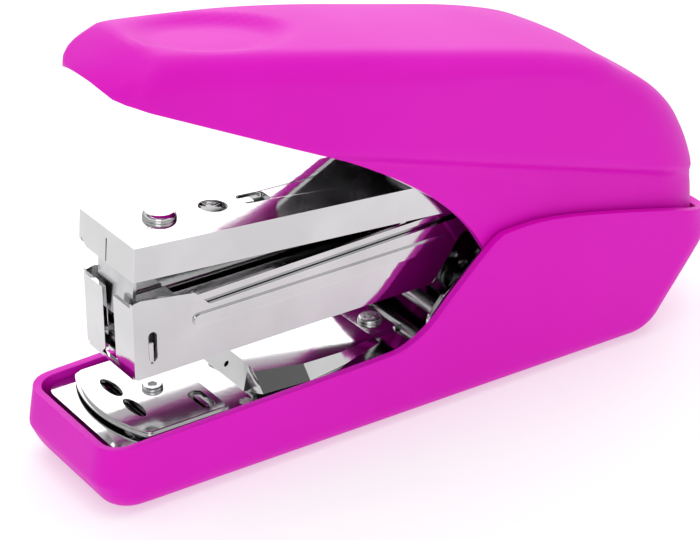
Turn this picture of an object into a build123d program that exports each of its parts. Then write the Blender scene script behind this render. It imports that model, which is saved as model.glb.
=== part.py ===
from build123d import *
import os
from math import asin, atan2, cos, degrees, hypot, radians, sin, tan

# Half-strip desk stapler with a tall power-assist handle, shown open at rest.
# Lengths are millimetres. X is measured back from the nose of the base while
# the pieces are made, Y is across and Z is up from the desk. export() moves
# everything so that the origin is the middle of the footprint.

# ---------------------------------------------------------------- base shell
overall_length = 146.0
nose_half_width = 16.4          # base half width at the nose
tail_half_width = 18.6          # base half width at the tail
shell_wall = 1.6
floor_thickness = 2.0
nose_corner_radius = 8.5
tail_corner_radius = 12.0
rim_height = 14.0
cheek_top = 34.2
cheek_start = 66.0              # where the rim starts to climb to the cheek
tail_rake = 15.0                # how far the tail leans back over its height
tail_height = 18.5

# ------------------------------------------------------------------ feet
foot_proud = 0.4
foot_pocket_depth = 0.8
foot_length = 16.0
foot_width = 7.0
foot_stations = (16.0, 112.0)
foot_offset = 8.5

# ------------------------------------------------------------- steel plate
plate_top = 12.5
plate_thickness = 1.0
plate_front = 4.8
plate_rear = 132.0
plate_gap = 0.3                 # between the plate's edge and the shell
plate_corner_radius = 4.0
ledge_width = 1.8
ledge_depth = 2.2
base_screw_radius = 1.2
base_screw_head_radius = 2.5
base_screw_head_height = 1.2
base_screw_places = ((33.0, 11.5), (33.0, -11.5), (98.0, 7.5), (98.0, -7.5))
screw_boss_radius = 2.9
thread_clearance = 0.05

# ------------------------------------------------------------ clinch table
table_top = 14.2
table_thickness = 0.6
under_plate_thickness = 0.35
under_plate_lip = 0.5
table_front = 8.1
table_bow = 3.5                 # how far the front edge bows forward
table_rear = 28.0
table_half_width = 13.2
table_travel = 0.6
pocket_station = 13.6
pocket_centre = 4.3             # middle of each staple pocket from the centre line
pocket_length = 7.4
pocket_width = 2.6
table_rivet_station = 19.9
table_rivet_radius = 2.0
table_rivet_shank = 1.3
table_hole_station = 25.2
table_hole_offset = 8.6
table_hole_length = 7.0
table_hole_width = 3.0
table_spring_wire = 0.5
table_spring_radius = 2.2       # to the middle of the wire

# ---------------------------------------------------------------- clinchers
clincher_thickness = 1.6
clincher_pivot_offset = 9.4
clincher_pivot_height = 8.6
clincher_pin_radius = 0.8
clincher_drop = 0.35            # below the table when the table is down
wing_shoulder = 1.4             # how far each wing reaches past its pin
wing_depth = 1.5
wing_tip_depth = 1.6
window_side_gap = 0.4
window_end_gap = 1.3            # room for the wings' shoulders as they swing
holder_wall = 0.8
holder_half_width = 11.2
running_clearance = 0.05

# -------------------------------------------------------------- clinch cover
cover_front = 34.6
cover_rear = 66.0
cover_front_height = 3.6
cover_rear_height = 0.9
cover_sheet = 0.7
cover_slope = 42.0
cover_tab_rear = 73.0
cover_tab_half_width = 5.0
cover_screw_station = 68.9
cover_screw_radius = 2.4
cover_screw_shank = 1.1

# ------------------------------------------------------------------- pivots
handle_pivot = (103.0, 22.0)
arm_pivot = (125.0, 25.0)
pivot_pin_radius = 2.0
pin_head_height = 0.9
pin_head_extra = 1.2
cross_rod_place = (78.0, 17.0)
cross_rod_radius = 1.5

# --------------------------------------------------------------- side frame
frame_sheet = 1.0
frame_half_width = 11.2
frame_front = 75.0
frame_rear = 133.0
frame_floor_front = 89.0

# ----------------------------------------------------------------- magazine
magazine_bottom = 22.4
magazine_front = 11.6
magazine_half_width = 8.75
magazine_sheet = 0.75
block_top = 38.3
block_rear = 24.5
block_foot = 27.6
wall_top_front = 33.4
wall_top_rear = 35.0
rear_underside = 31.6
driver_slot_half_width = 2.0
exit_slot_length = 1.3
exit_slot_half_width = 6.8
bead_height = 2.4
bead_proud = 0.5
bead_front = 24.0
bead_rear = 81.0
window_station = 15.5
window_width = 1.8
window_low = 25.3
window_high = 31.4
pivot_ear_radius = 5.2

guide_gap = 0.25
guide_front = 17.5
guide_rear = 84.0
guide_top = 36.2

rail_front = 14.6
rail_rear = 76.0
rail_half_width = 5.9
rail_sheet = 0.8
rail_height = 5.3
rail_slot_half_width = 2.0

rod_radius = 1.0
rod_height = 2.2                # above the guide's floor
pusher_spring_radius = 1.45     # to the middle of the wire
pusher_spring_wire = 0.5
pusher_gap = 0.2
pusher_wall = 0.6
pusher_top_wall = 1.2
pusher_front = 14.9
pusher_length = 12.0
tongue_length = 3.0
tongue_half_width = 1.7

# --------------------------------------------------------------- driver arm
arm_pitch = 4.5                 # nose-up angle of the arm at rest
cap_rise = 15.55                # top of the cap above the arm pivot, when level
cap_front = 10.5
cap_half_width = 9.8
cap_sheet = 0.7
cap_flange = 6.6
cap_rear = 112.0
cap_seam = 0.4
inner_frame_front = 13.5
inner_frame_rear = 46.0
inner_frame_half_width = 6.7
inner_frame_depth = 7.65
inner_frame_sheet = 0.8
notch_radius = 3.3
notch_station = 34.0
blade_front = 12.55
blade_thickness = 0.65
blade_half_width = 6.3
blade_tip = 23.2
driver_rivet_station = 21.3
driver_rivet_radius = 3.2
driver_rivet_shank = 1.8
round_hole_station = 32.5
round_hole_radius = 2.75
square_hole_station = 41.2
square_hole_length = 6.0
square_hole_width = 4.0
leaf_half_width = 3.0
leaf_thickness = 0.5
leaf_front = 50.0
leaf_bend = 62.0
leaf_rear = 90.0
leaf_drop = 2.4

# ------------------------------------------------------------------- handle
handle_tip = (8.6, 79.4)
handle_crown = ((18.0, 85.0), (50.7, 79.8), (93.5, 69.3))
handle_tail_radius = 40.0
handle_tail_angle = 55.0        # where the crown meets the round tail
handle_bottom = 18.0
handle_half_width = 17.9
handle_nose_half_width = 13.4
handle_nose_flat = 3.5          # half width of the blunt tip
handle_nose_sweep = 6.5         # how far the nose's corners sit behind the tip
handle_taper = 62.0             # length over which the handle widens
handle_wall = 2.0
crown_overcut = 0.6             # how far the side view stands clear of the arched crown
handle_corner_radius = 12.0
handle_crown_drop = 2.0         # how far the crown falls at its sides
panel_half_width = 15.6         # lower panel that slides between the cheeks
crease = ((48.0, 60.2), (150.0, 28.8))
dish_station = 34.0
dish_length = 34.0
dish_width = 21.0
dish_depth = 1.0

lever_half_width = 13.0
lever_sheet = 1.0
lever_ear_radius = 6.0
lever_ridge = ((60.0, 65.2), (108.0, 44.0))
lever_front = 57.0
lever_front_edge = 55.6
lever_knee = (83.0, 37.1)
roller_place = (81.0, 48.5)
roller_radius = 3.0
roller_half_length = 7.0
roller_pin_radius = 1.5
post_radius = 3.6
post_stations = (68.0, 94.0)
handle_screw_radius = 1.3
handle_screw_head_radius = 2.6
handle_screw_head_height = 1.2
handle_screw_bite = 6.0

# ------------------------------------------------------------ return spring
return_wire = 0.5
return_radius = 3.3             # to the middle of the wire
return_turns = 6
return_pitch = 1.3

# ------------------------------------------------------- worked-out heights
shell_bottom = foot_proud
floor_top = shell_bottom + floor_thickness
plate_bottom = plate_top - plate_thickness
table_bottom = table_top - table_thickness
under_plate_bottom = table_bottom - under_plate_thickness
guide_floor = magazine_bottom + magazine_sheet
guide_half_width = magazine_half_width - magazine_sheet - guide_gap
guide_inner = guide_half_width - magazine_sheet
rail_bottom = guide_floor + magazine_sheet
rail_top = rail_bottom + rail_height
rod_axis = rail_bottom + rod_height
cap_top = arm_pivot[1] + cap_rise
cap_under = cap_top - cap_sheet
tail_run = tail_half_width - nose_half_width


# ------------------------------------------------------------------ helpers
def base_half_width(station):
    """Half width of the base, which widens evenly from nose to tail."""
    return nose_half_width + tail_run * station / overall_length


def side_face(points, radii):
    """A face in the side view, from (station, height) corners."""
    return Plane.XZ * make_face(FilletPolyline(*points, radius=radii, close=True))


def facing_up(face):
    """The same flat face with its normal upward."""
    return face if face.normal_at().Z > 0 else -face


def top_face(points, radii, height=0.0):
    """A face in the top view, from (station, offset) corners."""
    outline = make_face(FilletPolyline(*points, radius=radii, close=True)).face()
    return Pos(0, 0, height) * facing_up(outline)


def across(face, half_width):
    """A side-view face pulled out equally to both sides."""
    return extrude(face, amount=half_width, both=True)


def cheeks(face, outer, sheet):
    """A pair of upright sheets cut to one side-view face."""
    return across(face, outer) - across(face, outer - sheet)


def bar(x0, x1, half_width, z0, z1):
    """A block centred across the stapler."""
    return Pos((x0 + x1) / 2, 0, (z0 + z1) / 2) * Box(x1 - x0, 2 * half_width, z1 - z0)


def block(x0, x1, y0, y1, z0, z1):
    """A block between six planes."""
    middle = Pos((x0 + x1) / 2, (y0 + y1) / 2, (z0 + z1) / 2)
    return middle * Box(x1 - x0, y1 - y0, z1 - z0)


def cross_pin(place, radius, half_length):
    """A round bar across the stapler at a (station, height) place."""
    return Pos(place[0], 0, place[1]) * Rot(90, 0, 0) * Cylinder(radius, 2 * half_length)


def upright(x, y, radius, z0, z1):
    """A round upright bar."""
    return Pos(x, y, (z0 + z1) / 2) * Cylinder(radius, z1 - z0)


def pitched(shape):
    """An arm piece drawn level, turned nose-up to where it rests."""
    about = Pos(arm_pivot[0], 0, arm_pivot[1])
    return about * Rot(0, arm_pitch, 0) * about.inverse() * shape


def export(name, shape, middle):
    """Writes one sub-part, moved so that the footprint's middle is the origin."""
    solids = (Pos(-middle, 0, 0) * shape).solids()
    body = solids[0] if len(solids) == 1 else Compound(children=solids)
    export_step(body, f"parts/{name}.step")


# --------------------------------------------------------------- base pieces
def tapered(inset, low, high):
    """The base's plan with its sides moved in, as a tall block."""
    ends = (-5.0, overall_length + 5.0)
    near = [(x, -base_half_width(x) + inset) for x in ends]
    far = [(x, base_half_width(x) - inset) for x in reversed(ends)]
    return extrude(top_face(near + far, 0, low), amount=high - low)


def nose_block(inset):
    """A tall block with the nose's round corners in plan."""
    front, back = inset, overall_length + 20
    half = base_half_width(inset) - inset
    corners = [(front, -half), (front + 90, -half - 3), (back, -half - 3), (back, half + 3),
               (front + 90, half + 3), (front, half)]
    radius = nose_corner_radius - inset
    return extrude(top_face(corners, [radius, 0, 0, 0, 0, radius], -2), amount=cheek_top + 12)


def tail_block(inset):
    """A tall block with the tail's round corners, raked below and upright above."""
    rear = overall_length - inset
    half = tail_half_width - inset
    radius = tail_corner_radius - inset
    corners = [(-20, -half), (rear, -half), (rear, half), (-20, half)]
    upper = extrude(top_face(corners, [0, radius, radius, 0], tail_height), amount=cheek_top)
    lean = (tail_rake, 0, tail_height)
    low = [(x - tail_rake, y) for x, y in corners]
    raked = extrude(top_face(low, [0, radius, radius, 0]), amount=hypot(tail_rake, tail_height), dir=lean)
    return upper + raked


def base_outer():
    """The outside of the base, still solid."""
    points = [
        (3.0, shell_bottom), (0.0, 6.8), (1.4, rim_height), (cheek_start, rim_height + 1.4),
        (cheek_start + 21.5, cheek_top - 0.4), (cheek_start + 33, cheek_top),
        (overall_length - 10, cheek_top - 8.2), (overall_length - 1.4, cheek_top - 11.2),
        (overall_length, tail_height), (overall_length - tail_rake, shell_bottom),
    ]
    face = side_face(points, [1.5, 5, 0.8, 12, 4, 20, 25, 0.8, 4, 2])
    body = across(face, tail_half_width + 5) & tapered(0, -1, cheek_top + 5)
    return body & nose_block(0) & tail_block(0)


def base_cavity(inset):
    """The hollow of the base, with its walls moved in by the inset."""
    rear = overall_length - inset - 0.8
    slope = tail_rake / tail_height
    front = inset + 0.8
    points = [
        (front + 1.4, floor_top), (front, rim_height - 3), (front, cheek_top + 6),
        (rear, cheek_top + 6), (rear, tail_height), (rear - slope * (tail_height - floor_top), floor_top),
    ]
    body = across(side_face(points, 0), tail_half_width + 5) & tapered(inset, 0, cheek_top + 7)
    return body & nose_block(inset) & tail_block(inset + 0.8)


def screw_bosses(radius, low, high):
    """One upright post at each base screw."""
    return [upright(x, y, radius, low, high) for x, y in base_screw_places]


def foot_places():
    """Middles of the four feet."""
    return [(x, s * foot_offset) for x in foot_stations for s in (-1, 1)]


def foot_pad(x, y, low, high):
    """One rounded pad."""
    face = Pos(x, y, low) * RectangleRounded(foot_length, foot_width, foot_width / 2 - 0.1)
    return extrude(face, amount=high - low)


def make_base_shell():
    """One-piece tray with tall rear cheeks and a ledge under the steel plate."""
    body = base_outer() - base_cavity(shell_wall)
    slab = bar(0, plate_rear + 4, 30, plate_bottom - ledge_depth, plate_bottom)
    ledge = (slab & base_cavity(shell_wall)) - base_cavity(shell_wall + ledge_width)
    body = body + ledge
    for post in screw_bosses(screw_boss_radius, floor_top, plate_bottom):
        body = body + post
    body = body + upright(table_rivet_station, 0, 3.4, floor_top, floor_top + 2)
    head_top = shell_bottom + base_screw_head_height
    for hole in screw_bosses(base_screw_radius + thread_clearance, 0, plate_bottom + 1):
        body = body - hole
    for sink in screw_bosses(base_screw_head_radius + 0.1, 0, head_top):
        body = body - sink
    for x, y in foot_places():
        body = body - foot_pad(x, y, 0, shell_bottom + foot_pocket_depth)
    return body


def make_foot_pads():
    """Four rubber pads let into the underside."""
    return [foot_pad(x, y, 0, shell_bottom + foot_pocket_depth) for x, y in foot_places()]


def make_base_screws():
    """Four screws from below that hold the steel plate down."""
    head_top = shell_bottom + base_screw_head_height
    shanks = screw_bosses(base_screw_radius, head_top, plate_top - 0.2)
    heads = screw_bosses(base_screw_head_radius, shell_bottom, head_top)
    drive = [Pos(x, y, shell_bottom) * Box(2.6, 0.6, 1.0) for x, y in base_screw_places]
    cross = [Pos(x, y, shell_bottom) * Box(0.6, 2.6, 1.0) for x, y in base_screw_places]
    return [s + h - d - c for s, h, d, c in zip(shanks, heads, drive, cross)]


def make_base_plate():
    """Steel plate in the tray, with the openings that the table works through."""
    half = nose_half_width + tail_run * plate_front / overall_length - shell_wall - plate_gap
    corners = [(plate_front, -half), (plate_rear, -half), (plate_rear, half), (plate_front, half)]
    radii = [plate_corner_radius, 3, 3, plate_corner_radius]
    plate = extrude(top_face(corners, radii, plate_bottom), amount=plate_thickness)
    window = clincher_thickness / 2 + window_side_gap
    reach = pocket_centre + pocket_length / 2 + window_end_gap
    low, high = plate_bottom - 1, plate_top + 1
    plate = plate - bar(pocket_station - window, pocket_station + window, reach, low, high)
    plate = plate - upright(table_rivet_station, 0, table_spring_radius + 1.0, low, high)
    plate = plate - upright(cover_screw_station, 0, cover_screw_shank + thread_clearance, low, high)
    for hole in screw_bosses(base_screw_radius + thread_clearance, low, high):
        plate = plate - hole
    tab = block(table_hole_station - 0.4, table_hole_station + 0.4, table_hole_offset - 2.2,
                table_hole_offset + 2.2, plate_top, table_top - 0.3)
    return plate + tab + mirror(tab, about=Plane.XZ)


def table_face(lip):
    """Plan of the clinch table: a bowed front edge and a square back."""
    half = table_half_width + lip
    front, rear = table_front - lip, table_rear + lip
    bow = ThreePointArc((front + table_bow, half), (front, 0), (front + table_bow, -half))
    sides = Polyline((front + table_bow, -half), (rear, -half), (rear, half), (front + table_bow, half))
    face = make_face([bow, sides])
    return fillet(face.vertices(), 1.4)


def make_clinch_table():
    """Bright top plate with two staple pockets and two slots."""
    table = extrude(Pos(0, 0, table_bottom) * table_face(0), amount=table_thickness)
    for side in (-1, 1):
        pocket = Pos(pocket_station, side * pocket_centre) * Ellipse(pocket_width / 2, pocket_length / 2)
        table = table - extrude(Pos(0, 0, table_bottom) * pocket, amount=table_thickness)
        slot = Pos(table_hole_station, side * table_hole_offset) * SlotOverall(
            table_hole_length, table_hole_width, rotation=90)
        table = table - extrude(Pos(0, 0, table_bottom) * slot, amount=table_thickness)
    return table - upright(table_rivet_station, 0, table_rivet_shank, 0, table_top + 1)


def make_table_under_plate():
    """Slightly larger plate under the table, with clear slots for the clinchers."""
    base = Pos(0, 0, under_plate_bottom)
    plate = extrude(base * table_face(under_plate_lip), amount=under_plate_thickness)
    for side in (-1, 1):
        pocket = Pos(pocket_station, side * pocket_centre) * SlotOverall(
            pocket_length + 0.6, pocket_width, rotation=90)
        plate = plate - extrude(base * pocket, amount=under_plate_thickness)
        slot = Pos(table_hole_station, side * table_hole_offset) * SlotOverall(
            table_hole_length, table_hole_width, rotation=90)
        plate = plate - extrude(base * slot, amount=under_plate_thickness)
    return plate - upright(table_rivet_station, 0, table_rivet_shank, 0, table_top + 1)


def make_table_rivet():
    """Headed post with a hexagon recess that guides the table up and down."""
    head = upright(table_rivet_station, 0, table_rivet_radius, table_top, table_top + 0.8)
    head = chamfer(head.faces().sort_by(Axis.Z)[-1].edges(), 0.3)
    recess = Pos(table_rivet_station, 0, table_top + 0.3) * RegularPolygon(1.0, 6)
    shank = upright(table_rivet_station, 0, table_rivet_shank, floor_top + 4.5, table_top)
    return head + shank - extrude(recess, amount=1)


def make_table_spring():
    """Coil spring that lifts the table, round the rivet's shank."""
    low, high = floor_top + 2, under_plate_bottom
    x = table_rivet_station
    wire = table_spring_wire
    outer = upright(x, 0, table_spring_radius + wire / 2, low, high)
    return outer - upright(x, 0, table_spring_radius - wire / 2, low - 1, high + 1)


def make_clincher_left():
    """Wing that swings up into the near pocket and folds one staple leg."""
    top = under_plate_bottom - table_travel - clincher_drop
    tip = pocket_centre - pocket_length / 2 + 0.4
    heel = pocket_centre + pocket_length / 2 - 0.4
    shoulder = clincher_pivot_offset + wing_shoulder
    low = clincher_pivot_height - wing_depth
    points = [(-tip, top), (-heel, top), (-shoulder, clincher_pivot_height + 1), (-shoulder, low),
              (-heel, low), (-tip, top - wing_tip_depth)]
    face = Plane.YZ * make_face(Polyline(*points, close=True))
    wing = Pos(pocket_station, 0, 0) * extrude(face, amount=clincher_thickness / 2, both=True)
    hole = Pos(pocket_station, -clincher_pivot_offset, clincher_pivot_height) * Rot(0, 90, 0)
    return wing - hole * Cylinder(clincher_pin_radius + running_clearance, 10)


def make_clincher_pins():
    """Two short pins that the wings swing on."""
    length = clincher_thickness + 0.6 + 2 * holder_wall
    pins = []
    for side in (-1, 1):
        middle = Pos(pocket_station, side * clincher_pivot_offset, clincher_pivot_height)
        pins.append(middle * Rot(0, 90, 0) * Cylinder(clincher_pin_radius, length))
    return pins


def make_clincher_holder():
    """Folded bracket under the plate that carries the two pins."""
    inner = clincher_thickness / 2 + 0.3
    outer = inner + holder_wall
    low = clincher_pivot_height - 3.2
    x0, x1 = pocket_station - outer, pocket_station + outer
    body = bar(x0, x1, holder_half_width, low, plate_bottom)
    body = body - bar(x0 + holder_wall, x1 - holder_wall, 30, low + holder_wall, plate_bottom + 1)
    for side in (-1, 1):
        middle = Pos(pocket_station, side * clincher_pivot_offset, clincher_pivot_height)
        body = body - middle * Rot(0, 90, 0) * Cylinder(clincher_pin_radius, 10)
    return body


def cover_outline(inset, height):
    """Plan of the cover at a height, moved in all round."""
    outline = [(cover_front, 8.2), (cover_front + 2.4, 11.2), (47.0, 12.0), (56.0, 10.6),
               (cover_rear, 7.6)]
    ends = {cover_front: inset, cover_rear: -inset}
    half = [(x + ends.get(x, 0), y - inset) for x, y in outline]
    whole = half + [(x, -y) for x, y in reversed(half)]
    return Pos(0, 0, height) * facing_up(make_face(Polyline(*whole, close=True)).face())


def cover_body(inset):
    """Ridge with sloping flanks and a top that falls to the rear."""
    rise = 5.0
    lean = rise * tan(radians(cover_slope))
    foot, head = cover_outline(inset, plate_top), cover_outline(inset + lean, plate_top + rise)
    ridge = loft([foot, head], ruled=True)
    top = plate_top - inset
    wedge = side_face([
        (20, plate_top - 1), (80, plate_top - 1), (80, top + cover_rear_height - 0.8),
        (cover_rear, top + cover_rear_height), (cover_front, top + cover_front_height),
        (20, top + cover_front_height + 0.4)], 0)
    return ridge & across(wedge, 20)


def make_clinch_cover():
    """Pressed cover over the clinching lever, with a screw tab behind."""
    cover = cover_body(0) - cover_body(cover_sheet)
    tab = bar(cover_rear - 4, cover_tab_rear, cover_tab_half_width, plate_top, plate_top + cover_sheet)
    tab = tab - cover_body(cover_sheet)
    cover = cover + tab
    mark = Pos(cover_front + 1, 0, plate_top + 1.5) * Rot(0, 90, 0) * Cylinder(0.5, 6)
    return cover - mark - upright(cover_screw_station, 0, cover_screw_shank + thread_clearance, 0, 20)


def make_cover_screw():
    """Cross-head screw through the cover's tab."""
    seat = plate_top + cover_sheet
    x = cover_screw_station
    head = upright(x, 0, cover_screw_radius, seat, seat + 0.9)
    head = fillet(head.faces().sort_by(Axis.Z)[-1].edges(), 0.5)
    shank = upright(x, 0, cover_screw_shank, plate_bottom - 2, seat)
    slot = Pos(x, 0, seat + 0.9)
    return head + shank - slot * Box(2.8, 0.6, 1.0) - slot * Box(0.6, 2.8, 1.0)


def make_side_frame():
    """Folded steel frame whose ears carry both pivots and the cross rod."""
    rear = frame_rear
    ear = side_face([
        (frame_front, plate_top), (frame_front + 0.2, 16.6), (78.6, 20.4), (89.0, 29.4), (97.0, 31.4),
        (rear - 2, 32.2), (rear, 24.0), (rear - 2, plate_top)], [0.6, 1.6, 1.6, 4, 6, 5, 6, 1])
    gap = side_face([(81.0, plate_top + 1.6), (90.0, plate_top + 1.6), (91.0, 25.0)], 1.0)
    ears = cheeks(ear, frame_half_width, frame_sheet) - across(gap, 30)
    floor = bar(frame_floor_front, rear - 2.5, frame_half_width, plate_top, plate_top + frame_sheet)
    body = ears + floor
    for place, radius in ((handle_pivot, pivot_pin_radius), (arm_pivot, pivot_pin_radius),
                          (cross_rod_place, cross_rod_radius)):
        body = body - cross_pin(place, radius, 30)
    for x, y in base_screw_places:
        body = body - upright(x, y, base_screw_radius + 0.6, plate_top - 1, plate_top + 3)
    return body


def make_arm_pivot_pin():
    """Riveted pin that the magazine and the driver arm swing on."""
    pin = cross_pin(arm_pivot, pivot_pin_radius, frame_half_width)
    head = cross_pin(arm_pivot, pivot_pin_radius + pin_head_extra, frame_half_width + pin_head_height)
    return pin + (head - cross_pin(arm_pivot, 10, frame_half_width))


def make_handle_pivot_pin():
    """Plain pin that the handle's lever swings on."""
    return cross_pin(handle_pivot, pivot_pin_radius, lever_half_width + 0.4)


def make_cross_rod():
    """Rod between the frame's front arms."""
    return cross_pin(cross_rod_place, cross_rod_radius, frame_half_width)


def make_return_spring():
    """Coil of the torsion spring round the handle pivot."""
    length = return_turns * return_pitch
    coil = Helix(return_pitch, length, return_radius)
    start = coil @ 0
    section = Plane(start, z_dir=coil % 0) * Circle(return_wire)
    wire = sweep(section, path=coil)
    turned = Pos(handle_pivot[0], length / 2, handle_pivot[1]) * Rot(90, 0, 0)
    return turned * wire


# ----------------------------------------------------------- magazine pieces
def magazine_side():
    """Side view of the sheath with its pivot ear."""
    run = side_face([
        (magazine_front, magazine_bottom), (77.5, magazine_bottom), (84.3, rear_underside),
        (114.0, rear_underside), (arm_pivot[0] - 5, arm_pivot[1]), (arm_pivot[0] + 5, arm_pivot[1]),
        (arm_pivot[0] + 4, wall_top_rear), (84.0, wall_top_rear), (block_foot, wall_top_front),
        (block_rear, 36.6), (13.2, block_top), (magazine_front, block_top - 0.4)],
        [0.8, 2.0, 2.5, 3, 0, 0, 5, 8, 1.0, 0.8, 0.4, 0.2])
    ear = Plane.XZ * (Pos(*arm_pivot) * Circle(pivot_ear_radius))
    return run + ear


def make_magazine_sheath():
    """Open-topped sheet channel that the staples run in."""
    inner = magazine_half_width - magazine_sheet
    body = cheeks(magazine_side(), magazine_half_width, magazine_sheet)
    floor = bar(magazine_front, 77.0, inner, magazine_bottom, guide_floor)
    nose = bar(magazine_front, magazine_front + magazine_sheet, inner, magazine_bottom, block_top - 1.3)
    lip_cut = [bar(0, magazine_front + magazine_sheet, driver_slot_half_width, 0, 60)]
    for side in (-1, 1):
        corner = Plane.YZ * make_face(Polyline(
            (side * 1.9, magazine_bottom - 0.1), (side * 4.0, magazine_bottom - 0.1),
            (side * 1.9, magazine_bottom + 2.2), close=True))
        lip_cut.append(extrude(corner, amount=magazine_front + magazine_sheet))
    for cut in lip_cut:
        nose = nose - cut
    body = body + floor + nose
    exit_front = magazine_front + magazine_sheet
    body = body - bar(exit_front, exit_front + exit_slot_length, exit_slot_half_width, 20, guide_floor + 0.1)
    window = Plane.XZ * (Pos(window_station, (window_low + window_high) / 2) * SlotOverall(
        window_high - window_low, window_width, rotation=90))
    body = body - across(window, 20)
    bead_middle = (bead_front + bead_rear) / 2
    bead = Plane.XZ * (Pos(bead_middle, 30.9) * SlotOverall(bead_rear - bead_front, bead_height))
    proud = cheeks(bead, magazine_half_width + bead_proud, bead_proud)
    body = body + proud
    return body - cross_pin(arm_pivot, pivot_pin_radius + running_clearance, 20)


def make_magazine_guide():
    """Second channel inside the sheath that keeps the staples square."""
    side = side_face([
        (guide_front, guide_floor), (77.0, guide_floor), (guide_rear, 32.2), (guide_rear, guide_top + 0.4),
        (guide_front, guide_top - 1.0)], [0.3, 1, 1, 0.5, 2.5])
    body = cheeks(side, guide_half_width, magazine_sheet)
    floor = bar(guide_front, 76.5, guide_half_width, guide_floor, rail_bottom)
    ramp = bar(77.0, guide_rear, guide_inner, 33.0, 33.0 + magazine_sheet)
    return body + floor + ramp


def make_magazine_rail():
    """Staple rail, an upturned channel with a slot for the pusher's tongue."""
    body = bar(rail_front, rail_rear, rail_half_width, rail_bottom, rail_top)
    inner = rail_half_width - rail_sheet
    body = body - bar(rail_front + rail_sheet, rail_rear - rail_sheet, inner, rail_bottom - 1,
                      rail_top - rail_sheet)
    body = fillet(body.edges().filter_by(Axis.X).sort_by(Axis.Z)[-2:], 0.6)
    tongue = pusher_front + (pusher_length - tongue_length) / 2
    slot = bar(tongue - 1.5, rail_rear - rail_sheet, rail_slot_half_width, rail_bottom, rail_top + 1)
    rod = Pos((rail_front + rail_rear) / 2, 0, rod_axis) * Rot(0, 90, 0)
    return body - slot - rod * Cylinder(rod_radius, rail_rear - rail_front + 2)


def make_pusher_rod():
    """Rod under the rail that the pusher and its spring slide along."""
    middle = Pos((rail_front + rail_rear) / 2, 0, rod_axis) * Rot(0, 90, 0)
    return middle * Cylinder(rod_radius, rail_rear - rail_front)


def tongue_station():
    """Front face of the pusher's tongue."""
    return pusher_front + (pusher_length - tongue_length) / 2


def make_pusher_spring():
    """Long coil spring behind the pusher's tongue."""
    front = tongue_station() + tongue_length + 0.1
    rear = rail_rear - rail_sheet
    wire = pusher_spring_wire
    middle = Pos((front + rear) / 2, 0, rod_axis) * Rot(0, 90, 0)
    outer = middle * Cylinder(pusher_spring_radius + wire / 2, rear - front)
    return outer - middle * Cylinder(pusher_spring_radius - wire / 2, rear - front + 2)


def make_pusher():
    """Saddle on the rail that pushes the staples forward."""
    inner = rail_half_width + pusher_gap
    outer = inner + pusher_wall
    rear = pusher_front + pusher_length
    top = rail_top + pusher_gap + pusher_top_wall
    body = bar(pusher_front, rear, outer, rail_bottom + 0.4, top)
    body = body - bar(pusher_front - 1, rear + 1, inner, rail_bottom - 1, rail_top + pusher_gap)
    body = fillet(body.edges().filter_by(Axis.X).sort_by(Axis.Z)[-2:], 0.6)
    tongue = bar(tongue_station(), tongue_station() + tongue_length, tongue_half_width,
                 rod_axis - rod_radius - 0.7, top - 0.2)
    hole = Pos(tongue_station(), 0, rod_axis) * Rot(0, 90, 0)
    return body + tongue - hole * Cylinder(rod_radius + running_clearance, 20)


# --------------------------------------------------------- driver arm pieces
def cap_side():
    """Side view of the cap with its pivot ear, drawn level."""
    low = cap_top - cap_flange
    run = side_face([
        (cap_front, low), (108.0, low), (arm_pivot[0] - 5, arm_pivot[1]),
        (arm_pivot[0] + 5, arm_pivot[1]), (arm_pivot[0] + 4.6, low + 1), (cap_rear + 4, cap_top),
        (cap_front, cap_top)], [1.0, 6, 0, 0, 3, 6, 0.3])
    ear = Plane.XZ * (Pos(*arm_pivot) * Circle(pivot_ear_radius))
    return run + ear


def top_holes(grow):
    """The round and the square opening in the cap's top."""
    low, high = cap_under - 3, cap_top + 1
    holes = upright(round_hole_station, 0, round_hole_radius + grow, low, high)
    square = RectangleRounded(square_hole_length + 2 * grow, square_hole_width + 2 * grow, 1.0)
    return [holes, extrude(Pos(square_hole_station, 0, low) * square, amount=high - low)]


def make_driver_cap():
    """Long upturned channel that the handle presses down."""
    body = cheeks(cap_side(), cap_half_width, cap_sheet)
    body = body + bar(cap_front, cap_rear, cap_half_width, cap_under, cap_top)
    low = cap_top - cap_flange
    nose = bar(cap_front, cap_front + cap_sheet, cap_half_width, low, cap_top)
    nose = nose - bar(cap_front - 1, cap_front + 2, cap_seam / 2, low - 1, cap_under - 1.2)
    far_corner = Plane.YZ * make_face(Polyline(
        (cap_half_width + 1, low - 1), (cap_half_width + 1, low + 2.6), (cap_half_width - 4, low - 1),
        close=True))
    nose = nose - extrude(far_corner, amount=cap_front + cap_sheet)
    body = body + nose
    for hole in top_holes(0):
        body = body - hole
    tang = bar(square_hole_station - square_hole_length / 2, square_hole_station - 0.4, 1.0,
               cap_under, cap_under + 0.5)
    body = body + tang
    body = body - upright(driver_rivet_station, 0, driver_rivet_shank, 0, 60)
    body = body - cross_pin(arm_pivot, pivot_pin_radius + running_clearance, 20)
    return pitched(body)


def make_driver_frame():
    """Inner channel under the cap that backs up the blade."""
    low = cap_under - inner_frame_depth
    face = side_face([(inner_frame_front, low), (inner_frame_rear, low + 1.4),
                      (inner_frame_rear + 4, cap_under), (inner_frame_front, cap_under)], [0.6, 2, 0, 0])
    body = cheeks(face, inner_frame_half_width, inner_frame_sheet)
    top = cap_under - inner_frame_sheet
    body = body + bar(inner_frame_front, inner_frame_rear, inner_frame_half_width, top, cap_under)
    body = body - cross_pin((notch_station, low), notch_radius, 20)
    for hole in top_holes(0.4):
        body = body - hole
    return pitched(body - upright(driver_rivet_station, 0, driver_rivet_shank, 0, 60))


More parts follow.
